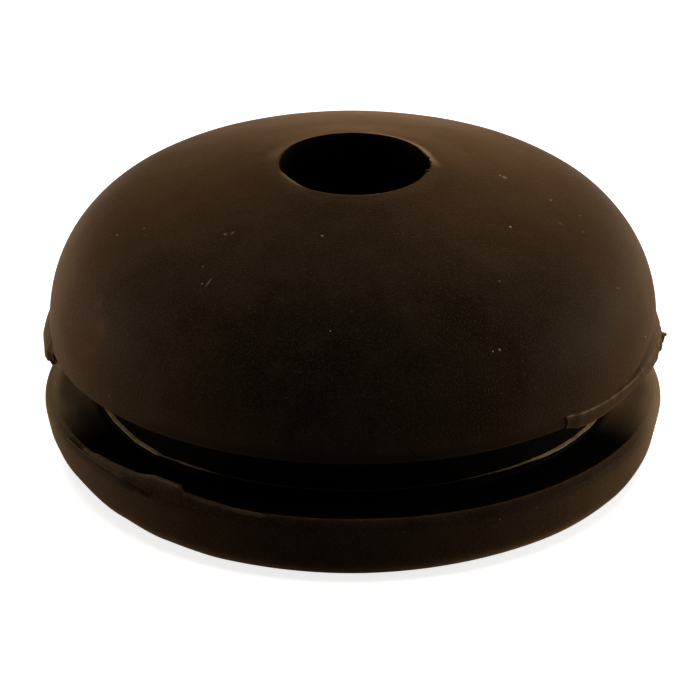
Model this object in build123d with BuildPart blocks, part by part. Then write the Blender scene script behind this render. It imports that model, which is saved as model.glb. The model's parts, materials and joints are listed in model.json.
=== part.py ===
from build123d import *
import os
from math import cos, radians, sin, sqrt, tan

# Driveshaft support rubber, moulded in one piece: a domed head over a round neck and a base
# flange, with a groove between them for the edge of a plate, and a bolt hole down the middle.
# Millimetres, +Z up. The origin is on the axis, in the plane of the flange's flat bottom.
# Angles are compass angles on the part: 0 is the front (-Y), 90 the right (+X), 180 the back.

# Base flange: its side leans in from the top edge towards a well rounded foot
flange_diameter = 45.0
flange_height = 5.0
flange_draft = 11.0
foot_round = 2.2

# Neck and plate groove
neck_diameter = 37.4
groove_width = 4.1

# Domed head: a short upright wall, a shoulder arc and a flatter crown arc
dome_diameter = 44.0
dome_wall_height = 1.6
shoulder_radius = 9.8
crown_radius = 47.5

# Bolt hole
bore_diameter = 10.5
bore_lip_bevel = 0.4

# Flash left on the head's rim, everywhere but over the front and front left
rim_flash_reach = 0.45
rim_flash_rise = 0.9
rim_flash_drop = 0.6
rim_flash_thickness = 0.4
rim_flash_start = 42.0
rim_flash_end = 278.0

# Torn tag that stands out of the rim flash
tag_reach = 0.4
tag_width = 1.0
tag_thickness = 0.4
tag_angle = 88.0

# Fin left standing on the flange's edge: it climbs to a torn end, past which a stub runs out
fin_thickness = 0.5
fin_inset = 0.1
fin_root = 0.3
fin_height = 1.0
fin_start = -70.0
fin_torn_end = -33.0
stub_height = 0.45
stub_end = -17.0

# Thin line of flash round the foot of the neck
neck_flash_reach = 0.35
neck_flash_height = 0.45
neck_flash_thickness = 0.15

# Worked out from the sizes above
flange_radius = flange_diameter / 2
foot_radius = flange_radius - flange_height * tan(radians(flange_draft))
neck_radius = neck_diameter / 2
dome_radius = dome_diameter / 2
bore_radius = bore_diameter / 2
rim_height = flange_height + groove_width
shoulder_centre = Vector(dome_radius - shoulder_radius, rim_height + dome_wall_height)
crown_drop = sqrt((crown_radius - shoulder_radius) ** 2 - shoulder_centre.X**2)
crown_centre = Vector(0, shoulder_centre.Y - crown_drop)
crown_start = crown_centre + (shoulder_centre - crown_centre).normalized() * crown_radius
bore_top = (bore_radius, crown_centre.Y + sqrt(crown_radius**2 - bore_radius**2))


def compass(angle, radius, height):
    """The point at a compass angle, a distance from the axis and a height."""
    return Vector(radius * sin(radians(angle)), -radius * cos(radians(angle)), height)


def upright(angle):
    """The upright plane through the axis at a compass angle: x is the radius, y the height."""
    outward = compass(angle, 1, 0)
    return Plane(origin=(0, 0, 0), x_dir=outward, z_dir=outward.cross(Vector(0, 0, 1)))


def flange_fin(start, end, start_height, end_height):
    """A thin wall on the flange's edge whose top runs from one height to another."""
    outer_radius = flange_radius - fin_inset
    start_top = compass(start, outer_radius, flange_height + start_height)
    end_top = compass(end, outer_radius, flange_height + end_height)
    across = compass((start + end) / 2, 1, 0)
    slope = Plane(origin=start_top, x_dir=across, z_dir=across.cross(end_top - start_top))
    with BuildPart() as fin:
        with BuildSketch(upright(start)):
            with Locations((outer_radius, flange_height - fin_root)):
                Rectangle(
                    fin_thickness,
                    fin_root + max(start_height, end_height),
                    align=(Align.MAX, Align.MIN),
                )
        revolve(axis=Axis.Z, revolution_arc=end - start)
        split(bisect_by=slope, keep=Keep.BOTTOM)
    return fin.part


with BuildPart() as support_rubber:
    # True section through the moulding, from the bore outwards and up over the head
    with BuildSketch(Plane.XZ) as section:
        with BuildLine():
            Polyline(
                (bore_radius, 0),
                (foot_radius, 0),
                (flange_radius, flange_height),
                (neck_radius, flange_height),
                (neck_radius, rim_height),
                (dome_radius, rim_height),
                (dome_radius, shoulder_centre.Y),
            )
            shoulder = TangentArc((dome_radius, shoulder_centre.Y), crown_start, tangent=(0, 1))
            crown = TangentArc(shoulder @ 1, bore_top, tangent=shoulder % 1)
            Line(crown @ 1, (bore_radius, 0))
        make_face()
        fillet(section.vertices().sort_by_distance((foot_radius, 0))[0], radius=foot_round)
        chamfer(section.vertices().sort_by_distance(bore_top)[0], length=bore_lip_bevel)
    revolve(axis=Axis.Z)

    # Line of flash round the neck, thin at its edge
    with BuildSketch(Plane.XZ):
        with BuildLine():
            flash_height = flange_height + neck_flash_height
            Polyline(
                (neck_radius - neck_flash_thickness, flash_height),
                (neck_radius + neck_flash_reach, flash_height),
                (neck_radius - neck_flash_thickness, flash_height - 2 * neck_flash_thickness),
                close=True,
            )
        make_face()
    revolve(axis=Axis.Z)

    # Flash on the head's rim: it leaves the wall above the rim and hangs below it
    with BuildSketch(upright(rim_flash_start)):
        with BuildLine():
            flash_radius = dome_radius + rim_flash_reach
            Polyline(
                (dome_radius - rim_flash_thickness, rim_height),
                (dome_radius - rim_flash_thickness, rim_height + rim_flash_rise),
                (dome_radius, rim_height + rim_flash_rise),
                (flash_radius, rim_height + rim_flash_rise / 2),
                (flash_radius - rim_flash_thickness / 2, rim_height - rim_flash_drop),
                close=True,
            )
        make_face()
    revolve(axis=Axis.Z, revolution_arc=rim_flash_end - rim_flash_start)

    # Torn tag on the flash
    tag_root = compass(tag_angle, flash_radius - rim_flash_thickness / 2, rim_height)
    with BuildSketch(Plane(origin=tag_root, x_dir=compass(tag_angle, 1, 0), z_dir=(0, 0, 1))):
        with BuildLine():
            Polyline(
                (0, -tag_width / 2),
                (rim_flash_thickness / 2 + tag_reach, 0),
                (0, tag_width / 2),
                close=True,
            )
        make_face()
    extrude(amount=-tag_thickness)

    # Fin and stub on the flange's edge
    add(flange_fin(fin_start, fin_torn_end, 0, fin_height))
    add(flange_fin(fin_torn_end, stub_end, stub_height, 0))

support_rubber.part.label = "support_rubber"
os.makedirs("parts", exist_ok=True)
export_step(support_rubber.part, "parts/support_rubber.step")
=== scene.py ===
import json
from math import atan2, cos, degrees, hypot, pi, radians, sin, sqrt, tan

import bpy
from mathutils import Matrix, Vector, noise


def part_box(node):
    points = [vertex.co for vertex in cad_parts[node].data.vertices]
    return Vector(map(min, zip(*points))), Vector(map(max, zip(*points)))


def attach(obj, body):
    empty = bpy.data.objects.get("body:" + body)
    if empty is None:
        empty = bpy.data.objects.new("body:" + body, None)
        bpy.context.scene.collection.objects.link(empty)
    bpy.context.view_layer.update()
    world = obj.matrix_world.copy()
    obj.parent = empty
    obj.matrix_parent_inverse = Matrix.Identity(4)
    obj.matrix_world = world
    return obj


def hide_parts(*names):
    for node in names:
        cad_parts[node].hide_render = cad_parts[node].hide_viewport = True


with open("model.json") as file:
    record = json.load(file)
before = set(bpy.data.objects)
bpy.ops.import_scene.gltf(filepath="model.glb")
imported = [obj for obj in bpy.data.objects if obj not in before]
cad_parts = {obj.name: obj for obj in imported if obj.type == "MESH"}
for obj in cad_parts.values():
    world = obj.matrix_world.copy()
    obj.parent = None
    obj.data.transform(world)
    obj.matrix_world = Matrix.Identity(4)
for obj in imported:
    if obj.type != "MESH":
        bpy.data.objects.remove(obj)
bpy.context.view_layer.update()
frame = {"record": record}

# The driveshaft support rubber is one moulding that stands on its flange, its bore upright.
# Metres, +Z up, the axis through the origin. Angles are compass angles on the part, in degrees:
# 0 is the front (-Y), 90 the right (+X), 180 the back.

MM = 0.001
NODE = "support_rubber"
_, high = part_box(NODE)
mounts = {m["name"]: m for m in frame["record"]["mounts"]}

# The moulding's section
flange_radius = high.y
flange_height = 5.0 * MM
flange_draft = radians(11)
flange_edge_round = 0.7 * MM
foot_round = 2.2 * MM
neck_radius = 18.7 * MM
corner_round = 0.15 * MM
rim_height = 9.1 * MM
rim_round = 0.4 * MM
dome_radius = 22.0 * MM
wall_top = 10.7 * MM
shoulder_radius = 9.8 * MM
crown_radius = 47.5 * MM
bore_radius = mounts["bolt_bore"]["dims"]["r_mm"] * MM
lip_round = 0.25 * MM
foot_inset = 0.1 * MM
steps_around = 360

# How far the head leans to the right of the foot, and the height in the flange where that starts
head_lean = radians(0.42)
lean_height = 2 * MM

# The shoulder arc's distance from the axis, the crown arc's centre height, and where they meet
shoulder_centre = dome_radius - shoulder_radius
crown_centre = wall_top - sqrt((crown_radius - shoulder_radius) ** 2 - shoulder_centre**2)
shoulder_turn = atan2(wall_top - crown_centre, shoulder_centre)


# ---------------------------------------------------------------- places on the part


def compass(angle, radius, height):
    """The point at a compass angle, a distance from the axis and a height."""
    return Vector((radius * sin(radians(angle)), -radius * cos(radians(angle)), height))


def angle_of(point):
    """The compass angle of a point, from -180 to 180."""
    return degrees(atan2(point.x, -point.y))


def ease(value, start, end):
    """0 before start, 1 after end, and a smooth rise between."""
    t = min(max((value - start) / (end - start), 0), 1)
    return t * t * (3 - 2 * t)


def swell(value, start, full, fading, gone):
    """0 outside start and gone, 1 from full to fading, and smooth between."""
    return ease(value, start, full) * (1 - ease(value, fading, gone))


def along(stops, value):
    """The second figure of (place, figure) stops at a value, smooth from stop to stop."""
    if value <= stops[0][0]:
        return stops[0][1]
    for (a, start), (b, end) in zip(stops, stops[1:]):
        if value <= b:
            return start + (end - start) * ease(value, a, b)
    return stops[-1][1]


def unevenness(angle, lumps, seed):
    """Noise from -1 to 1 round the part, so many lumps to a full turn, and closed on itself."""
    reach = lumps / 6
    point = Vector((reach * cos(radians(angle)), reach * sin(radians(angle)), seed))
    return noise.noise(point) + 0.5 * noise.noise(point * 2.3)


def lean(point):
    """The head and the flange's top lean a little to the right of the foot."""
    if hypot(point.x, point.y) < bore_radius + lip_round:
        share = point.z / high.z
    else:
        share = ease(point.z, lean_height, flange_height)
    pivot = Matrix.Translation((0, 0, lean_height))
    return pivot @ Matrix.Rotation(head_lean * share, 4, "Y") @ pivot.inverted() @ point


def head_height(radius):
    """The height of the head's surface at a distance from the axis."""
    if radius < crown_radius * cos(shoulder_turn):
        return crown_centre + sqrt(crown_radius**2 - radius**2)
    return wall_top + sqrt(max(shoulder_radius**2 - (radius - shoulder_centre) ** 2, 0))


def flange_side(height):
    """The distance of the flange's tapered side from the axis, at a height."""
    return flange_radius - (flange_height - height) * tan(flange_draft)


def arc(centre_r, centre_z, radius, start, end, steps):
    """Points of a section's arc as (distance from the axis, height), angles in radians."""
    turns = [start + (end - start) * i / steps for i in range(steps + 1)]
    return [(centre_r + radius * cos(a), centre_z + radius * sin(a)) for a in turns]


def run(start, end, steps):
    """The points between two points of a section, without either of them."""
    return [
        (start[0] + (end[0] - start[0]) * i / steps, start[1] + (end[1] - start[1]) * i / steps)
        for i in range(1, steps)
    ]


# ---------------------------------------------------------------- camera and light


def add_camera():
    """Looks down at the front through a long lens, some way off and hardly tilted."""
    distance = 370 * MM
    elevation = radians(26.64)
    tilt = radians(-0.29)
    aim = Vector((-0.175 * MM, 0, 7.54 * MM))
    place = Vector((0, -distance * cos(elevation), distance * sin(elevation)))
    bpy.ops.object.camera_add(location=place)
    camera = bpy.context.object
    camera.name = "camera"
    camera.rotation_euler = (aim - place).to_track_quat("-Z", "Y").to_euler()
    camera.rotation_euler.rotate_axis("Z", tilt)
    camera.data.sensor_width = 36
    camera.data.lens = 258.8
    camera.data.clip_start = 0.01
    bpy.context.scene.camera = camera


WARM_LIGHT = (1.0, 0.93, 0.82)
LAMPS = [
    ("top_softbox", (0, 0, 0.8), (0.7, 0.7), 5.9),
    ("left_back_softbox", (-0.6, 0.5, 0.22), (0.5, 0.4), 0.4),
    ("right_back_softbox", (0.6, 0.5, 0.22), (0.5, 0.4), 0.91),
    ("left_low_softbox", (-0.6, 0.1, 0.07), (0.6, 0.12), 1.9),
    ("right_low_softbox", (0.6, 0.1, 0.07), (0.6, 0.12), 3.2),
]  # (name, place, size in metres, watts)


def softbox(name, place, size, power):
    """A soft, warm rectangular lamp that faces the part."""
    aim = Vector((0, 0, 10 * MM))
    bpy.ops.object.light_add(type="AREA", location=place)
    lamp = bpy.context.object
    lamp.name = name
    lamp.data.shape = "RECTANGLE"
    lamp.data.size, lamp.data.size_y = size
    lamp.data.energy = power
    lamp.data.color = WARM_LIGHT
    lamp.rotation_euler = (aim - Vector(place)).to_track_quat("-Z", "Y").to_euler()


def add_node(tree, kind, inputs=None, **settings):
    """Adds a shader node, sets its own settings, and fills its inputs with values or links."""
    node = tree.nodes.new(kind)
    for key, value in settings.items():
        setattr(node, key, value)
    for name, value in (inputs or {}).items():
        if isinstance(value, bpy.types.NodeSocket):
            tree.links.new(value, node.inputs[name])
        else:
            node.inputs[name].default_value = value
    return node


def calc(tree, operation, first, second=0.0):
    """One step of arithmetic on two values."""
    return add_node(tree, "ShaderNodeMath", {0: first, 1: second}, operation=operation).outputs[0]


def remap(tree, value, low_end, high_end, low_value=0.0, high_value=1.0, kind="SMOOTHSTEP"):
    """A value carried over from one range to another."""
    ranges = {"From Min": low_end, "From Max": high_end, "To Min": low_value, "To Max": high_value}
    inputs = {"Value": value, **ranges}
    return add_node(tree, "ShaderNodeMapRange", inputs, interpolation_type=kind).outputs["Result"]


def blend(tree, share, first, second):
    """A colour between two colours, each a value or another node's colour."""
    colours = {0: share}
    for socket, colour in ((6, first), (7, second)):
        colours[socket] = colour if isinstance(colour, bpy.types.NodeSocket) else (*colour, 1)
    return add_node(tree, "ShaderNodeMix", colours, data_type="RGBA").outputs[2]


def pale_floor():
    """White paper that takes the part's shadow. Gloss sees it glow white behind and beside the part
    and dim in front, a painted shade seen only in reflections. The part sees a darker grey."""
    tone_for_part, tone_for_camera = (0.3, 0.3, 0.3), (0.85, 0.85, 0.85)
    glow_for_camera = 0.78
    shade_centre, shade_start, shade_end = (0, -0.25, 0), 0.2, 0.36
    material = bpy.data.materials.new("pale_paper")
    material.use_nodes = True
    tree = material.node_tree
    paper = tree.nodes["Principled BSDF"]
    paper.inputs["Roughness"].default_value = 0.9
    paper.inputs["Specular IOR Level"].default_value = 0.0
    rays = add_node(tree, "ShaderNodeLightPath")
    tone = blend(tree, rays.outputs["Is Camera Ray"], tone_for_part, tone_for_camera)
    tree.links.new(tone, paper.inputs["Base Color"])
    place = add_node(tree, "ShaderNodeTexCoord")
    from_shade = add_node(
        tree, "ShaderNodeVectorMath", {0: place.outputs["Object"], 1: shade_centre}, operation="DISTANCE"
    )
    lit = remap(tree, from_shade.outputs["Value"], shade_start, shade_end)
    gloss = calc(tree, "MULTIPLY", lit, rays.outputs["Is Glossy Ray"])
    seen = calc(tree, "MULTIPLY", rays.outputs["Is Camera Ray"], glow_for_camera)
    clear = calc(tree, "MAXIMUM", seen, rays.outputs["Is Transmission Ray"])
    glow = calc(tree, "MAXIMUM", clear, gloss)
    white = add_node(tree, "ShaderNodeEmission", {"Color": (1, 1, 1, 1), "Strength": glow})
    both = add_node(tree, "ShaderNodeAddShader", {0: paper.outputs["BSDF"], 1: white.outputs["Emission"]})
    tree.links.new(both.outputs[0], tree.nodes["Material Output"].inputs["Surface"])
    return material


def light_stage():
    """A pale floor under soft lamps: one above the part, two low beside it and two behind it.
    The room is white to the camera and dim to the part."""
    floor_size = 6
    room_light = 0.05
    for lamp in LAMPS:
        softbox(*lamp)
    bpy.ops.mesh.primitive_plane_add(size=floor_size, location=(0, 0, 0))
    floor = bpy.context.object
    floor.name = "floor"
    floor.data.materials.append(pale_floor())
    world = bpy.data.worlds.new("studio")
    bpy.context.scene.world = world
    world.use_nodes = True
    tree = world.node_tree
    rays = add_node(tree, "ShaderNodeLightPath").outputs
    clear = calc(tree, "MAXIMUM", rays["Is Camera Ray"], rays["Is Transmission Ray"])
    level = calc(tree, "MAXIMUM", clear, room_light)
    background = tree.nodes["Background"]
    background.inputs["Color"].default_value = (1, 1, 1, 1)
    tree.links.new(level, background.inputs["Strength"])
    bpy.context.scene.view_settings.view_transform = "Standard"


# ---------------------------------------------------------------- working on a piece


def select_only(piece):
    """Selects one piece and makes it the active one."""
    bpy.ops.object.select_all(action="DESELECT")
    piece.select_set(True)
    bpy.context.view_layer.objects.active = piece


def apply_modifier(piece, kind, name, **settings):
    """Adds a modifier with its settings and applies it to the mesh."""
    select_only(piece)
    modifier = piece.modifiers.new(name, kind)
    for key, value in settings.items():
        setattr(modifier, key, value)
    bpy.ops.object.modifier_apply(modifier=name)


def paint_dust_and_light(piece, amounts):
    """Keeps a tone for each point of a piece: from -1, painted shade, to 1, pale with dust and painted
    light.
    """
    dust_and_painted_light = piece.data.attributes.new("dust_and_painted_light", "FLOAT", "POINT")
    dust_and_painted_light.data.foreach_set("value", amounts)


def finish_piece(piece, material):
    """Shades a piece, gives it its material and hangs it on the part."""
    select_only(piece)
    bpy.ops.object.transform_apply(location=True, rotation=True, scale=True)
    bpy.ops.object.shade_smooth_by_angle(angle=radians(40))
    piece.data.materials.clear()
    piece.data.materials.append(material)
    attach(piece, "root")
    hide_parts(NODE)


def paint_shade_faces(piece, shade_faces):
    """Gives a finished piece's faces the painted shade, a black rubber without bloom, where the given list,
    one truth a face, says so.
    """
    piece.data.materials.append(shade_finish)
    piece.data.polygons.foreach_set("material_index", shade_faces)


# ---------------------------------------------------------------- the moulding


def section_points():
    """The moulding's section as (distance from the axis, height), from the bore round to it again.
    The last figure of each arc and run is its number of steps."""
    foot_r = flange_side(foot_round) - foot_round * (1 - sin(flange_draft)) / cos(flange_draft)
    foot_r -= foot_inset
    foot = arc(foot_r, foot_round, foot_round, -pi / 2, -flange_draft, 12)
    edge_z = flange_height - flange_edge_round
    edge_r = flange_radius - flange_edge_round
    edge = arc(edge_r, edge_z, flange_edge_round, -flange_draft, pi / 2, 8)
    corner_r = neck_radius + corner_round
    neck_foot = arc(corner_r, flange_height + corner_round, corner_round, -pi / 2, -pi, 3)
    neck_top = arc(corner_r, rim_height - corner_round, corner_round, pi, pi / 2, 3)
    rim = arc(dome_radius - rim_round, rim_height + rim_round, rim_round, -pi / 2, 0, 8)
    shoulder = arc(shoulder_centre, wall_top, shoulder_radius, 0, shoulder_turn, 26)
    lip_r = bore_radius + lip_round
    lip_z = crown_centre + sqrt((crown_radius - lip_round) ** 2 - lip_r**2)
    lip_turn = atan2(lip_z - crown_centre, lip_r)
    near_lip = lip_turn + (shoulder_turn - lip_turn) * 0.15
    crown = arc(0, crown_centre, crown_radius, shoulder_turn, near_lip, 18)
    crown += arc(0, crown_centre, crown_radius, near_lip, lip_turn, 10)[1:]
    lip = arc(lip_r, lip_z, lip_round, lip_turn, pi, 9)
    start = (bore_radius, 0)
    points = [start] + run(start, foot[0], 6) + foot + run(foot[-1], edge[0], 7) + edge
    points += run(edge[-1], neck_foot[0], 6) + neck_foot + run(neck_foot[-1], neck_top[0], 8) + neck_top
    points += run(neck_top[-1], rim[0], 6) + rim + run(rim[-1], shoulder[0], 4) + shoulder
    points += crown[1:] + lip[1:] + run(lip[-1], start, 14)
    return points


def turn_up_moulding():
    """One ring of edges is drawn up ring by ring along the section, and closed on itself."""
    rings = section_points()
    bpy.ops.object.select_all(action="DESELECT")
    bpy.ops.mesh.primitive_circle_add(vertices=steps_around, radius=rings[0][0], location=(0, 0, 0))
    moulding = bpy.context.object
    moulding.name = "rubber_moulding"
    bpy.ops.object.mode_set(mode="EDIT")
    bpy.ops.mesh.select_all(action="SELECT")
    for (r0, z0), (r1, z1) in zip(rings, rings[1:] + rings[:1]):
        bpy.ops.mesh.extrude_edges_move(TRANSFORM_OT_translate={"value": (0, 0, z1 - z0)})
        bpy.ops.transform.resize(value=(r1 / r0, r1 / r0, 1), center_override=(0, 0, z1))
    bpy.ops.mesh.select_all(action="SELECT")
    bpy.ops.mesh.remove_doubles(threshold=0.005 * MM)
    bpy.ops.mesh.normals_make_consistent(inside=False)
    bpy.ops.object.mode_set(mode="OBJECT")
    return moulding


def work_lip(point):
    """The bore's lip stands a little proud and is eaten back behind. It has a frayed bite at the
    right and a slack, ragged stretch at the front left."""
    radius = hypot(point.x, point.y)
    if point.z < 20 * MM or radius > 9 * MM:
        return point
    angle = angle_of(point)
    near = ease(point.z, 20.8 * MM, 21.4 * MM) * (1 - ease(radius, 5.36 * MM, 5.7 * MM))
    bite = swell(angle, 69, 76, 103, 112)
    slack = swell(angle, -84, -62, -56, -33)
    bitten = 0.06 + 0.06 * ease(angle, 83, 88)
    bitten += 0.28 * unevenness(angle, 150, 3) + 0.08 * unevenness(angle, 400, 6)
    slackened = 0.2 + 0.05 * unevenness(angle, 150, 8)
    worn_back = 0.2 * ease(abs(angle), 105, 150)
    shift = bite * bitten - slack * slackened + 0.02 * unevenness(angle, 110, 5) + worn_back
    proud = (0.07 + 0.06 * ease(abs(angle), 50, 100)) * (1 - ease(radius, 5.7 * MM, 9 * MM))
    proud -= 0.5 * near * bite * abs(shift)
    return compass(angle, radius + near * shift * MM, point.z + proud * MM)


# How far the flange's foot is drawn up and in, as (compass angle, mm)
FOOT_LIFT = [
    (-175, 0.0), (-130, 0.35), (-105, 0.9), (-84, 1.3), (-76, 1.3), (-66, 1.05), (-50, 0.6), (-39, 0.37),
    (-25, 0.2), (0, 0.12), (35, 0.24), (66, 0.34), (85, 0.4), (140, 0.0),
]
FOOT_TUCK = [
    (-165, 0.0), (-115, 0.2), (-88, 0.3), (-75, 0.36), (-62, 0.34), (-50, 0.22), (-38, 0.08), (-25, 0.0),
    (40, 0.0), (58, 0.1), (72, 0.2), (90, 0.2), (120, 0.1), (150, 0.0),
]


def draw_in_foot(point):
    """The flange's foot is drawn up and in a little round its front, most at the left."""
    angle = angle_of(point)
    radius = hypot(point.x, point.y)
    share = ease(radius, 14 * MM, 20 * MM)
    inward = share * (1 - ease(point.z, 0.8 * MM, 4.9 * MM)) * along(FOOT_TUCK, angle) * MM
    upward = share * max(1 - point.z / (2.8 * MM), 0) * along(FOOT_LIFT, angle) * MM
    return compass(angle, radius - inward, point.z + upward)


def lip_light_and_shade(radius, angle):
    """Painted shade in the bore's lip and, round it, a painted highlight, most at its two back
    sides, with a thin painted highlight on the lip's edge at the right and the front left.
    """
    right = swell(angle, 84, 102, 156, 179)
    left = swell(angle, -172, -140, -112, -92)
    slack = swell(angle, -84, -70, -48, -36)
    edge = 5.44
    soot = (1 - ease(radius, edge, edge + 0.1)) * (1 - slack)
    band = swell(radius, edge, edge + 0.06, edge + 0.15, edge + 1.5 - 0.9 * right)
    line = swell(radius, 5.32, 5.4, 5.46, 5.56)
    pale = band * (0.04 + 0.9 * right + 0.2 * left) + line * (0.3 * slack + 0.6 * right)
    return min(pale, 1) - soot


def flange_painted_light(radius, height, angle):
    """Painted light, pale as dust, on the flange's two sides, more at the right, and where they
    turn into the groove at the left and right.
    """
    sides = swell(abs(angle), 62, 82, 130, 170)
    dust = 0.33 * sides + 0.45 * swell(angle, 62, 84, 110, 150)
    groove = ease(abs(angle), 73, 90) * ease(height, 4.8, 4.95) * (1 - ease(radius, 21.8, 22.1))
    return dust * ease(height, 0.3, 2) + (1 - dust) * groove


def moulding_painted_light(point):
    """The painted light and shade at a point of the true section: the lip's, the flange's, or
    painted shade under the head's front."""
    radius = hypot(point.x, point.y) / MM
    height = point.z / MM
    angle = angle_of(point)
    if radius < 8 and height > 15:
        return lip_light_and_shade(radius, angle)
    if height < 5.2 and radius > 18.9:
        return flange_painted_light(radius, height, angle)
    # Painted shade under the head's front, darkest at the rim
    if rim_height / MM + 0.05 < height < 10.6 and radius > 20:
        return -(1 - ease(height, 9.6, 10.5)) * (1 - ease(abs(angle), 34, 56))
    return 0


def shape_moulding(moulding):
    """Takes the machine-true look off: lumps of the mould, the eaten-back lip, the drawn-in foot
    and the head's lean. It also keeps each point's painted light and shade."""
    lumps = moulding.vertex_groups.new(name="free_skin")
    for vertex in moulding.data.vertices:
        radius = hypot(vertex.co.x, vertex.co.y)
        outside = ease(radius, bore_radius, bore_radius + 2 * MM)
        outside *= ease(vertex.co.z, 0.2 * MM, 1.5 * MM)
        lumps.add([vertex.index], outside, "REPLACE")
    paint_dust_and_light(moulding, [moulding_painted_light(vertex.co) for vertex in moulding.data.vertices])
    clouds = bpy.data.textures.new("mould_lumps", "CLOUDS")
    clouds.noise_scale = 6 * MM
    clouds.noise_depth = 1
    apply_modifier(
        moulding, "DISPLACE", "lumps", texture=clouds, strength=0.07 * MM, mid_level=0.6,
        vertex_group="free_skin",
    )
    for vertex in moulding.data.vertices:
        vertex.co = lean(draw_in_foot(work_lip(vertex.co)))


def painted_shade_face(face):
    """Whether a face of the true section lies in the bore, in the groove, or under the head's
    front, where shade falls. Such a face gets painted shade, a black rubber without bloom."""
    radius = hypot(face.center.x, face.center.y)
    height = face.center.z
    turn = abs(angle_of(face.center))
    in_bore = radius < bore_radius + (0.09 + 0.17 * ease(turn, 100, 150)) * MM
    in_groove = flange_height - 0.02 * MM < height < rim_height + 0.05 * MM and radius < 21.85 * MM
    under_head = flange_height < height < rim_height + 0.24 * MM and turn < 62
    return in_bore or in_groove or under_head


# ---------------------------------------------------------------- flash


def wrap_strip(name, start, end, steps, section, dust_and_painted_light):
    """A strip round the part between two compass angles, closed and capped. section(angle)
    gives its (distance from the axis, height) points in order, in mm, and the last argument,
    given (corner, angle), the tone of each, from painted shade to pale dust and painted light."""
    sides = len(section(start))
    bpy.ops.object.select_all(action="DESELECT")
    bpy.ops.mesh.primitive_grid_add(x_subdivisions=steps, y_subdivisions=sides, size=2)
    strip = bpy.context.object
    strip.name = name
    amounts = []
    for vertex in strip.data.vertices:
        angle = start + (end - start) * (vertex.co.x + 1) / 2
        corner = round((vertex.co.y + 1) / 2 * sides) % sides
        radius, height = section(angle)[corner]
        vertex.co = lean(compass(angle, radius * MM, height * MM))
        amounts.append(dust_and_painted_light(corner, angle))
    paint_dust_and_light(strip, amounts)
    bpy.ops.object.mode_set(mode="EDIT")
    bpy.ops.mesh.select_all(action="SELECT")
    bpy.ops.mesh.remove_doubles(threshold=0.0005 * MM)
    bpy.ops.mesh.select_mode(type="EDGE")
    bpy.ops.mesh.select_all(action="DESELECT")
    bpy.ops.mesh.select_non_manifold(
        extend=False, use_wire=False, use_multi_face=False, use_non_contiguous=False
    )
    bpy.ops.mesh.fill()
    bpy.ops.mesh.select_all(action="SELECT")
    bpy.ops.mesh.normals_make_consistent(inside=False)
    bpy.ops.object.mode_set(mode="OBJECT")
    return strip


# The rim's flash runs from the front right round the back to the left. Stops are (compass angle, mm).
RIM_FLASH_REACH = [
    (42, 0.13), (50, 0.16), (62, 0.2), (72, 0.3), (84, 0.37), (90, 0.3), (98, 0.15), (106, 0.1),
    (250, 0.1), (258, 0.2), (264, 0.38), (270, 0.46), (277, 0.48), (279, 0.4), (281, 0.03),
]
RIM_FLASH_TOP = [
    (42, 10.2), (47, 9.97), (52, 9.87), (62, 9.9), (74, 10.05), (90, 9.7), (262, 9.5), (280, 9.2),
]
RIM_FLASH_BOTTOM = [
    (42, 9.25), (46, 8.9), (50, 8.8), (60, 8.95), (67, 9.15), (80, 8.7), (120, 8.6), (235, 8.5),
    (262, 8.1), (274, 8.1), (279, 8.5), (281, 8.9),
]


def rim_flash_section(angle):
    """The flash that hangs on the head's rim like a thin turned-down lip, torn off at both ends:
    it slopes into the head past the right, has flakes there, and hangs loose at the left."""
    behind = swell(angle, 108, 118, 240, 254)
    ragged = swell(angle, 76, 80, 92, 97)
    slope = 1.1 * ease(angle, 62, 78)
    hang = ease(angle, 256, 266)
    flake = max(swell(angle, 85.6, 88.2, 88.9, 90.6), 0.5 * swell(angle, 83.4, 84.6, 84.8, 86))
    reach = along(RIM_FLASH_REACH, angle) + (0.04 - 0.03 * behind) * unevenness(angle, 70, 11)
    reach += ragged * 0.06 * unevenness(angle, 260, 2)
    top = along(RIM_FLASH_TOP, angle) + 0.025 * unevenness(angle, 110, 4)
    bottom = along(RIM_FLASH_BOTTOM, angle) + (0.05 - 0.035 * behind) * unevenness(angle, 90, 21)
    bottom += ragged * 0.1 * unevenness(angle, 220, 9) - 0.5 * hang
    wall = dome_radius / MM
    face = wall + reach
    return [
        (wall - 0.5, top + 0.02),
        (wall - 0.03 - 0.04 * slope, top + 0.1 + slope),
        (wall + 0.5 * reach, top + 0.07 + 0.36 * slope),
        (face - 0.02, top),
        (face + 0.01, top - 0.1),
        (face - 0.03 + 0.1 * flake, 0.6 * top + 0.4 * bottom),
        (face - 0.04 + 0.38 * flake, 0.3 * top + 0.7 * bottom),
        (face - 0.06 + 0.3 * flake - 0.12 * hang, bottom + 0.1 - 0.25 * flake + 0.25 * hang),
        (face - 0.12 + 0.1 * flake - 0.26 * hang, bottom - 0.3 * flake),
        (max(wall - 0.3, face - 0.3), bottom + 0.1),
        (wall - 0.6, rim_height / MM + 0.3),
    ]


def rim_flash_highlight(corner, angle):
    """A painted highlight along the flash's crest, less so toward the part's right and behind."""
    crest = {2: 0.06, 3: 0.34, 4: 0.06}.get(corner, 0.0)
    behind = ease(angle, 84, 104)
    patches = 0.6 * (1 - behind) * unevenness(angle, 200, 41) + 0.3 * behind * unevenness(angle, 37, 43)
    return crest * (1 - 0.4 * ease(angle, 60, 70) - 0.2 * behind) * (0.7 + patches)


# The fin's crest and the crease under its face. Stops are (compass angle, mm).
FIN_TOP = [
    (-66, 4.7), (-62, 4.9), (-58, 5.15), (-54, 5.37), (-44.5, 5.55), (-38, 5.95),
    (-33.4, 5.88), (-32.5, 5.42), (-27, 5.27), (-20, 5.08), (-13, 4.88),
]
FIN_CREASE = [
    (-75, 4.8), (-52, 4.86), (-46.3, 4.82), (-42.4, 4.72), (-38.7, 4.36), (-36, 4.4), (-30, 4.6),
]


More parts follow.
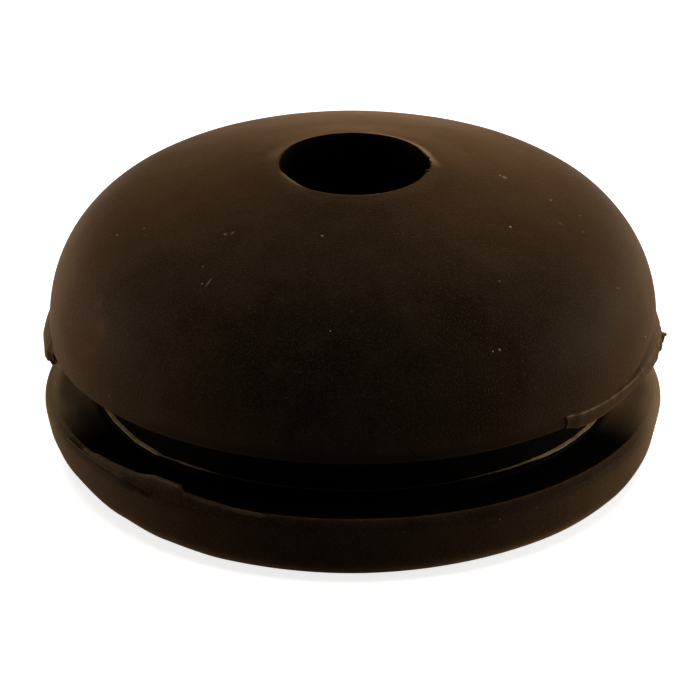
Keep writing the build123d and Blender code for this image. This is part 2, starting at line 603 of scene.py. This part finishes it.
def flange_fin_section(angle):
    """The fin turned up over the flange's edge at the left front: a crease shows under its face,
    and past a torn step it runs on as a low stub."""
    top = along(FIN_TOP, angle) + 0.03 * unevenness(angle, 120, 6)
    crease = along(FIN_CREASE, angle) + 0.03 * unevenness(angle, 100, 14)
    side = flange_side(crease * MM) / MM
    gap = swell(angle, -50, -45, -40, -37.5)
    shown = swell(angle, -66, -50, -20, -13)
    face = 22.05 + 0.27 * shown - 0.06 * ease(top, 5.4, 6)
    lip = side - 0.12 + 0.13 * ease(angle, -50, -45) * shown + 0.05 * gap
    return [
        (21.7, crease - 0.3),
        (21.7, 4.8),
        (21.8, max(top - 0.14, 4.75)),
        (21.9, top - 0.03),
        (face - 0.14, top),
        (face - 0.04, top - 0.05),
        (face + 0.02 * shown, top - 0.16),
        ((face + lip) / 2 + 0.04 * shown, (top + crease) / 2),
        (lip + 0.1 * gap, crease + 0.12 + 0.06 * gap),
        (lip - 0.02 * gap, crease + 0.06 + 0.06 * gap),
        (lip + 0.06 * gap, crease - 0.03),
        (side - 0.2, crease - 0.1),
    ]


def fin_highlight_and_shade(corner, angle):
    """A painted highlight on the fin's crest, stronger at its torn step, and painted shade in its crease."""
    if corner == 9:
        return -0.8 * swell(angle, -49, -46, -39, -37.5)
    crest = {4: 0.1, 5: 0.16, 6: 0.05}.get(corner, 0.0)
    torn = swell(angle, -41, -38, -33.5, -32.5)
    return crest * (0.6 + 0.7 * torn + 0.5 * unevenness(angle, 180, 61))


# The neck's flash: its height, and how thick and pale it is, pale with dust and painted light. Stops are
# (compass angle, mm or share).
NECK_FLASH_HEIGHT = [(-70, 5.88), (-62, 5.74), (-54, 5.54), (-46, 5.46), (-40, 5.6), (30, 5.67), (63, 5.52)]
NECK_FLASH_STRENGTH = [
    (-140, 0), (-100, 0.4), (-78, 0.9), (-61, 0.85), (-50, 1), (-47.5, 0.9), (-46, 0.3), (-43, 0.2),
    (-39.5, 0.5), (-35, 0.3), (-28, 0), (22, 0), (28, 0.15), (39, 0.45), (47, 0.9), (52, 1), (57, 0.8),
    (66, 0.8), (90, 0.5), (140, 0),
]


def neck_flash_section(angle):
    """The fine wavy line of flash round the neck, all but gone at the front and behind."""
    strength = along(NECK_FLASH_STRENGTH, angle)
    reach = 0.05 + 0.23 * strength + 0.03 * unevenness(angle, 90, 31)
    half = 0.015 + 0.045 * strength
    height = along(NECK_FLASH_HEIGHT, angle) + 0.035 * unevenness(angle, 60, 25)
    neck = neck_radius / MM
    return [
        (neck - 0.2, height - half - 0.05),
        (neck + 0.6 * reach, height - half),
        (neck + reach, height - 0.3 * half),
        (neck + 0.95 * reach, height + 0.4 * half),
        (neck + 0.5 * reach, height + half),
        (neck - 0.2, height + half + 0.05),
    ]


def neck_flash_dust_and_light(corner, angle):
    """Pale all round its section, the more the thicker it is: dust, and painted light, brightest
    at the left and right where the side light reaches it.
    """
    return min(along(NECK_FLASH_STRENGTH, angle) * (1.0 + 0.5 * unevenness(angle, 260, 52)), 1)


def tear_end(strip, angle, depth, seed):
    """Makes the end of a strip uneven, as a torn end is."""
    for vertex in strip.data.vertices:
        off = (angle_of(vertex.co) - angle + 180) % 360 - 180
        near = 1 - ease(abs(off), 0, 1.5)
        if near > 0:
            spot = Vector((vertex.co.z / MM * 3, hypot(vertex.co.x, vertex.co.y) / MM * 2, seed))
            pull = near * depth * noise.noise(spot)
            vertex.co = Matrix.Rotation(pull / dome_radius, 4, "Z") @ vertex.co


def torn_tag():
    """A torn crumb of flash that clings to the rim at the right, narrow at its outer end."""
    length, width, thickness = 0.8 * MM, 0.7 * MM, 0.5 * MM
    seat = Vector((22.36 * MM, 0, 9.2 * MM))
    turn = Matrix.Rotation(radians(-1.8), 4, "Z")
    bpy.ops.object.select_all(action="DESELECT")
    bpy.ops.mesh.primitive_cube_add(size=1, location=(0, 0, 0))
    tag = bpy.context.object
    tag.name = "torn_tag"
    bpy.ops.object.mode_set(mode="EDIT")
    bpy.ops.mesh.select_all(action="SELECT")
    bpy.ops.transform.resize(value=(length, width, thickness), center_override=(0, 0, 0))
    bpy.ops.mesh.subdivide(number_cuts=5)
    bpy.ops.object.mode_set(mode="OBJECT")
    amounts = []
    for vertex in tag.data.vertices:
        out = (vertex.co.x / MM + 0.4) / 0.8
        pinch = 1 - 0.7 * out
        vertex.co.y *= pinch
        vertex.co.z *= pinch
        spot = vertex.co / MM * 3.1
        shove = [noise.noise(spot + Vector((0, 0, 7.3 * axis))) for axis in (1, 2, 3)]
        vertex.co += Vector(shove) * 0.1 * MM
        vertex.co = lean(turn @ (vertex.co + seat))
        amounts.append(0.2 + 0.5 * out)
    paint_dust_and_light(tag, amounts)
    return tag


# ---------------------------------------------------------------- crumbs


def place_on_head(angle, radius):
    """A point of the head's surface and the way it faces there."""
    step = 0.05 * MM
    slope = (head_height(radius + step) - head_height(radius - step)) / (2 * step)
    facing = Vector((-slope * sin(radians(angle)), slope * cos(radians(angle)), 1)).normalized()
    return lean(compass(angle, radius, head_height(radius))), facing


CRUMBS = [
    (56.5, 13.2, 0.13), (82, 14.2, 0.11), (80, 16.4, 0.08), (90, 10.8, 0.15), (90.8, 10.5, 0.1),
    (-12, 10.6, 0.1), (-73.5, 17.5, 0.09), (-69, 15.9, 0.08), (-41, 16, 0.07), (-5, 18.8, 0.06),
    (29.5, 20.4, 0.09), (28, 20.4, 0.07), (71.4, 21.92, 0.12), (67, 20.3, 0.07), (73, 17, 0.06),
    (75.4, 7.6, 0.06), (77, 5.75, 0.08),
]  # (compass angle, distance from the axis in mm, radius in mm)


def scatter_crumbs():
    """Pale crumbs of trimmed rubber and grit that cling to the head, all cut from one."""
    bpy.ops.object.select_all(action="DESELECT")
    bpy.ops.mesh.primitive_ico_sphere_add(subdivisions=2, radius=1, location=(0, 0, 0))
    first = bpy.context.object
    first.name = "clinging_crumbs"
    for vertex in first.data.vertices:
        vertex.co *= 1 + 0.35 * noise.noise(vertex.co * 1.7)
    crumbs = []
    for number, (angle, radius, size) in enumerate(CRUMBS):
        crumb = first.copy()
        crumb.data = first.data.copy()
        bpy.context.collection.objects.link(crumb)
        point, facing = place_on_head(angle, radius * MM)
        turn = facing.to_track_quat("Z", "Y").to_matrix().to_4x4()
        spin = Matrix.Rotation(number * 2.4, 4, "Z")
        scale = Matrix.Diagonal((size * MM, size * 0.8 * MM, size * 0.45 * MM, 1))
        crumb.data.transform(Matrix.Translation(point) @ turn @ spin @ scale)
        crumbs.append(crumb)
    bpy.data.objects.remove(first)
    select_only(crumbs[0])
    for crumb in crumbs:
        crumb.select_set(True)
    bpy.ops.object.join()
    crumbs[0].name = "clinging_crumbs"
    return crumbs[0]


# ---------------------------------------------------------------- finishes

# The reddish brown stains, pale scuffs and marks of painted shade on the head, as (compass angle,
# distance from the axis, height or None for the head's top, reach along, outward and up), in mm
STAINS = [
    (-57, 21.2, 14.6, (1.5, 1.2, 1.9)),
    (-59, 21.7, 12.8, (1.7, 1.0, 1.0)),
    (-61, 20.5, 15.9, (0.6, 0.7, 0.8)),
]
SCUFFS = [
    (90, 10.8, None, (0.36, 0.34, 0.3)),
    (71, 15.5, None, (0.13, 0.4, 0.3)),
    (-45.3, 12.7, None, (0.3, 0.16, 0.3)),
    (-43.6, 12.3, None, (0.1, 0.34, 0.3)),
    (-36.5, 17.0, None, (0.09, 0.6, 0.5)),
]
# Painted shade on the head by the bore's front lip, where its edge turns away
FRONT_LIP_SHADE = [
    (-4, 5.75, None, (2.2, 0.62, 0.7)),
    (-26, 5.7, None, (1.5, 0.6, 0.7)),
]


def new_group(name, inputs, outputs):
    """A shader node group with named sockets: inputs as (name, kind, value), outputs as names."""
    group = bpy.data.node_groups.new(name, "ShaderNodeTree")
    for label, kind, value in inputs:
        socket = group.interface.new_socket(label, in_out="INPUT", socket_type=f"NodeSocket{kind}")
        if value is not None:
            socket.default_value = value
    for label in outputs:
        group.interface.new_socket(label, in_out="OUTPUT", socket_type="NodeSocketFloat")
    return group, add_node(group, "NodeGroupInput"), add_node(group, "NodeGroupOutput")


def place_group(tree, group, inputs):
    """Places a node group in a material with its own values."""
    return add_node(tree, "ShaderNodeGroup", inputs, node_tree=group)


def cloudy(tree, place, scale, detail, roughness=0.5):
    """Cloudy noise from 0 to 1 over the part."""
    inputs = {"Vector": place, "Scale": scale, "Detail": detail, "Roughness": roughness}
    return add_node(tree, "ShaderNodeTexNoise", inputs).outputs["Fac"]


def mottling_group():
    """Cloudy blotches, a fine grain and the grain's height, as moulded rubber has."""
    group, given, out = new_group(
        "rubber_mottling",
        [("Place", "Vector", None), ("Blotch size", "Float", 2.4), ("Grain size", "Float", 0.17)],
        ["Blotches", "Grain", "Height"],
    )
    place, blotch_size, grain_size = (given.outputs[name] for name in ("Place", "Blotch size", "Grain size"))
    blotch = cloudy(group, place, calc(group, "DIVIDE", 1.0, blotch_size), 3.0, 0.6)
    broad = cloudy(group, place, calc(group, "DIVIDE", 0.28, blotch_size), 1.0)
    grain = cloudy(group, place, calc(group, "DIVIDE", 1.0, grain_size), 2.0, 0.7)
    pits = add_node(
        group, "ShaderNodeTexVoronoi", {"Vector": place, "Scale": calc(group, "DIVIDE", 0.5, grain_size)}
    )
    clouds = calc(group, "ADD", calc(group, "MULTIPLY", blotch, 0.6), calc(group, "MULTIPLY", broad, 0.4))
    fine = remap(group, grain, 0.46, 0.76)
    group.links.new(remap(group, clouds, 0.38, 0.62), out.inputs["Blotches"])
    group.links.new(fine, out.inputs["Grain"])
    dents = calc(group, "MULTIPLY", remap(group, pits.outputs["Distance"], 0.0, 0.35), 0.5)
    group.links.new(calc(group, "ADD", fine, dents), out.inputs["Height"])
    return group


def speck_group():
    """Sparse specks of dust and grit, each its own strength."""
    group, given, out = new_group(
        "dust_specks",
        [
            ("Place", "Vector", None), ("Spacing", "Float", 1.2), ("Share", "Float", 0.15),
            ("Size", "Float", 0.06),
        ],
        ["Specks"],
    )
    place, spacing, share, size = (given.outputs[name] for name in ("Place", "Spacing", "Share", "Size"))
    cells = add_node(
        group, "ShaderNodeTexVoronoi", {"Vector": place, "Scale": calc(group, "DIVIDE", 1.0, spacing)}
    )
    chance = add_node(group, "ShaderNodeSeparateColor", {"Color": cells.outputs["Color"]})
    kept = calc(group, "GREATER_THAN", chance.outputs[0], calc(group, "SUBTRACT", 1.0, share))
    distance = calc(group, "DIVIDE", cells.outputs["Distance"], size)
    spot = remap(group, distance, 0.5, 1.0, 1.0, 0.0)
    strength = calc(group, "MULTIPLY", calc(group, "MULTIPLY", spot, kept), chance.outputs[1])
    group.links.new(strength, out.inputs["Specks"])
    return group


def mark_group():
    """One soft-edged, ragged mark at a place on the skin, turned to lie along it."""
    group, given, out = new_group(
        "skin_mark",
        [
            ("Place", "Vector", None), ("Centre", "Vector", None), ("Turn", "Float", 0.0),
            ("Reach", "Vector", (1, 1, 1)),
        ],
        ["Mark"],
    )
    place, centre, turn, reach = (given.outputs[name] for name in ("Place", "Centre", "Turn", "Reach"))
    offset = add_node(group, "ShaderNodeVectorMath", {0: place, 1: centre}, operation="SUBTRACT")
    turned = add_node(
        group, "ShaderNodeVectorRotate", {"Vector": offset.outputs[0], "Angle": turn}, rotation_type="Z_AXIS"
    )
    share = add_node(group, "ShaderNodeVectorMath", {0: turned.outputs[0], 1: reach}, operation="DIVIDE")
    away = add_node(group, "ShaderNodeVectorMath", {0: share.outputs[0]}, operation="LENGTH")
    ragged = cloudy(group, place, 4.0, 3.0)
    edge = calc(group, "ADD", away.outputs["Value"], calc(group, "MULTIPLY", ragged, 0.9))
    group.links.new(remap(group, edge, 0.4, 1.4, 1.0, 0.0), out.inputs["Mark"])
    return group


def marks(tree, place, table):
    """The strongest of a table's marks at each point of the skin."""
    strongest = None
    for angle, radius, height, reach in table:
        level = head_height(radius * MM) if height is None else height * MM
        centre = lean(compass(angle, radius * MM, level)) / MM
        inputs = {"Place": place, "Centre": centre, "Turn": radians(-angle), "Reach": reach}
        mark = place_group(tree, skin_mark, inputs).outputs["Mark"]
        strongest = mark if strongest is None else calc(tree, "MAXIMUM", strongest, mark)
    return strongest


# Plain colours of the rubber and of what lies on it, and of its painted light and shade
# The first pair is painted shade: the black of the bore, the groove and under the head's front
SHADED_BLACK, SHADED_BROWN = (0.0006, 0.0006, 0.0005), (0.0019, 0.0014, 0.0011)
SKIN_BLACK, SKIN_BROWN, SKIN_GRAIN = (0.0009, 0.0007, 0.0006), (0.005, 0.0035, 0.0027), (0.024, 0.018, 0.014)
# The flash's pale colour is the rim crest's painted highlight, the neck line's dust and painted light, and
# the tag's tone
FLASH_BLACK, FLASH_BROWN, FLASH_DUST_AND_LIGHT = (0.0022, 0.0016, 0.0012), (0.0094, 0.0063, 0.0044), (0.4, 0.28, 0.163)
CRUMB_DARK, CRUMB_PALE = (0.125, 0.088, 0.05), (0.29, 0.22, 0.145)
RUST_BROWN = (0.039, 0.0163, 0.007)
# Pale dust and painted light for the skin; painted light for the groove's left and right and the lip's edge
PALE_DUST_AND_LIGHT, GROOVE_PAINTED_LIGHT = (0.25, 0.18, 0.113), (0.38, 0.25, 0.14)
# Black for painted shade: in and by the bore's lip, in the fin's crease and under the head's front
PAINTED_SHADE_BLACK = (0.001, 0.0008, 0.0008)


def new_finish(name, specular, bloom):
    """A material with its shader's plain settings, and the place on the part in mm. bloom is
    how strong the skin's soft brown bloom is, which shows most at a slant."""
    material = bpy.data.materials.new(name)
    material.use_nodes = True
    tree = material.node_tree
    shader = tree.nodes["Principled BSDF"]
    shader.inputs["Specular IOR Level"].default_value = specular
    shader.inputs["Specular Tint"].default_value = (1.0, 0.8, 0.58, 1)
    shader.inputs["Sheen Weight"].default_value = bloom
    shader.inputs["Sheen Roughness"].default_value = 0.46
    shader.inputs["Sheen Tint"].default_value = (1.0, 0.55, 0.23, 1)
    spot = add_node(tree, "ShaderNodeTexCoord").outputs["Object"]
    in_mm = add_node(tree, "ShaderNodeMapping", {"Vector": spot, "Scale": (1 / MM, 1 / MM, 1 / MM)})
    return material, tree, shader, in_mm.outputs["Vector"]


def add_grain(tree, shader, height, depth):
    """Feeds a height to the shader as a fine bump, its depth in metres."""
    bump = add_node(tree, "ShaderNodeBump", {"Strength": 0.6, "Distance": depth, "Height": height})
    tree.links.new(bump.outputs["Normal"], shader.inputs["Normal"])


def painted_tones_of(tree, grain):
    """How pale each point is, with dust and painted light, broken up by the grain, and how much painted
    shade it has.
    """
    dust_and_painted_light = add_node(tree, "ShaderNodeAttribute", attribute_name="dust_and_painted_light").outputs["Fac"]
    rubbed = remap(tree, dust_and_painted_light, 0.0, 1.0, kind="LINEAR")
    pale = calc(tree, "MULTIPLY", rubbed, remap(tree, grain, 0.0, 1.0, 0.75, 1.0))
    return pale, remap(tree, dust_and_painted_light, -1.0, 0.0, 1.0, 0.0)


def rubber_skin():
    """The moulding's outside: black rubber under a brown bloom, blotched, grained, dust-specked,
    stained and marked, with painted highlights, painted light on the flange's sides and painted shade.
    """
    material, tree, shader, place = new_finish("moulded_rubber", 0.01, 0.275)
    skin = place_group(tree, rubber_mottling, {"Place": place, "Blotch size": 2.4, "Grain size": 0.12})
    colour = blend(tree, skin.outputs["Blotches"], SKIN_BLACK, SKIN_BROWN)
    colour = blend(tree, calc(tree, "MULTIPLY", skin.outputs["Grain"], 0.6), colour, SKIN_GRAIN)
    stains = calc(tree, "MULTIPLY", marks(tree, place, STAINS), 0.6)
    colour = blend(tree, stains, colour, RUST_BROWN)
    # Painted shade by the bore's front lip
    soot = marks(tree, place, FRONT_LIP_SHADE)
    dust = place_group(tree, dust_specks, {"Place": place, "Spacing": 1.3, "Share": 0.16, "Size": 0.075})
    grit = place_group(tree, dust_specks, {"Place": place, "Spacing": 0.45, "Share": 0.1, "Size": 0.14})
    faint_grit = calc(tree, "MULTIPLY", grit.outputs["Specks"], 0.35)
    specks = calc(tree, "MAXIMUM", dust.outputs["Specks"], faint_grit)
    scuffs = calc(tree, "MULTIPLY", marks(tree, place, SCUFFS), 0.4)
    # Pale dust and painted light, and painted shade, from each point's tone
    pale_dust_and_light, sooty = painted_tones_of(tree, skin.outputs["Grain"])
    faint_specks = calc(tree, "MULTIPLY", specks, 0.6)
    pale = calc(tree, "MAXIMUM", faint_specks, calc(tree, "MAXIMUM", scuffs, pale_dust_and_light))
    # Pale: dust specks and scuffs, and painted highlights and painted light from each point's tone
    colour = blend(tree, pale, colour, PALE_DUST_AND_LIGHT)
    # All the painted shade on the skin, drawn in black
    soot = calc(tree, "MAXIMUM", calc(tree, "MULTIPLY", soot, 0.85), sooty)
    colour = blend(tree, soot, colour, PAINTED_SHADE_BLACK)
    tree.links.new(colour, shader.inputs["Base Color"])
    rough = remap(tree, skin.outputs["Blotches"], 0.0, 1.0, 0.47, 0.43, "LINEAR")
    dirt = calc(tree, "MULTIPLY", calc(tree, "MAXIMUM", soot, pale), 0.4)
    tree.links.new(calc(tree, "ADD", rough, dirt), shader.inputs["Roughness"])
    add_grain(tree, shader, skin.outputs["Height"], 0.016 * MM)
    return material


def shade_painted_rubber():
    """Painted shade for the bore, the groove and under the head's front: the rubber black, dull,
    barely blotched and without bloom, with painted light at the groove's two sides.
    """
    material, tree, shader, place = new_finish("shade_painted_rubber", 0.0125, 0.0)
    skin = place_group(tree, rubber_mottling, {"Place": place, "Blotch size": 3.0, "Grain size": 0.2})
    colour = blend(tree, skin.outputs["Blotches"], SHADED_BLACK, SHADED_BROWN)
    # Painted light at the groove's left and right and on the lip's edge
    painted_lit, _ = painted_tones_of(tree, skin.outputs["Grain"])
    colour = blend(tree, painted_lit, colour, GROOVE_PAINTED_LIGHT)
    tree.links.new(colour, shader.inputs["Base Color"])
    tree.links.new(remap(tree, skin.outputs["Grain"], 0.0, 1.0, 0.7, 0.85), shader.inputs["Roughness"])
    add_grain(tree, shader, skin.outputs["Height"], 0.012 * MM)
    return material


def flash_rubber():
    """The flash: thin rubber like the skin, with a painted highlight along the rim flash's crest,
    dust and painted light on the neck's line, and a paler torn tag.
    """
    material, tree, shader, place = new_finish("flash_rubber", 0.01, 0.275)
    skin = place_group(tree, rubber_mottling, {"Place": place, "Blotch size": 1.1, "Grain size": 0.15})
    colour = blend(tree, skin.outputs["Blotches"], FLASH_BLACK, FLASH_BROWN)
    # Pale dust and painted light, and painted shade, from each point's tone
    pale_dust_and_light, sooty = painted_tones_of(tree, skin.outputs["Grain"])
    colour = blend(tree, pale_dust_and_light, colour, FLASH_DUST_AND_LIGHT)
    colour = blend(tree, sooty, colour, PAINTED_SHADE_BLACK)
    tree.links.new(colour, shader.inputs["Base Color"])
    tree.links.new(remap(tree, skin.outputs["Blotches"], 0.0, 1.0, 0.42, 0.5), shader.inputs["Roughness"])
    add_grain(tree, shader, skin.outputs["Height"], 0.02 * MM)
    return material


def dusty_rubber():
    """Crumbs of trimmed rubber and grit, pale with dust."""
    material, tree, shader, place = new_finish("dusty_crumbs", 0.025, 0.095)
    skin = place_group(tree, rubber_mottling, {"Place": place, "Blotch size": 0.3, "Grain size": 0.06})
    colour = blend(tree, skin.outputs["Blotches"], CRUMB_DARK, CRUMB_PALE)
    tree.links.new(colour, shader.inputs["Base Color"])
    tree.links.new(remap(tree, skin.outputs["Grain"], 0.0, 1.0, 0.6, 0.9), shader.inputs["Roughness"])
    add_grain(tree, shader, skin.outputs["Height"], 0.01 * MM)
    return material


# ---------------------------------------------------------------- making the part

add_camera()
light_stage()

rubber_mottling = mottling_group()
dust_specks = speck_group()
skin_mark = mark_group()
flash_finish = flash_rubber()

moulding = turn_up_moulding()
# Faces where shade falls, in the bore, the groove and under the head's front, get painted shade
shade_faces = [painted_shade_face(face) for face in moulding.data.polygons]
shape_moulding(moulding)
skin_finish = rubber_skin()
shade_finish = shade_painted_rubber()
finish_piece(moulding, skin_finish)
paint_shade_faces(moulding, shade_faces)

rim_flash_start = 42.5
rim_flash = wrap_strip("rim_flash", rim_flash_start, 281, 1190, rim_flash_section, rim_flash_highlight)
tear_end(rim_flash, rim_flash_start, 0.2 * MM, 5)
finish_piece(rim_flash, flash_finish)

fin_back = 21.88 * MM
fin = wrap_strip("flange_fin", -66, -13, 290, flange_fin_section, fin_highlight_and_shade)
finish_piece(fin, skin_finish)
# The fin's back faces, toward the groove, get painted shade
paint_shade_faces(fin, [hypot(face.center.x, face.center.y) < fin_back for face in fin.data.polygons])

neck_flash = wrap_strip("neck_flash", -150, 155, 1100, neck_flash_section, neck_flash_dust_and_light)
finish_piece(neck_flash, flash_finish)

tag = torn_tag()
finish_piece(tag, flash_finish)

crumbs = scatter_crumbs()
finish_piece(crumbs, dusty_rubber())
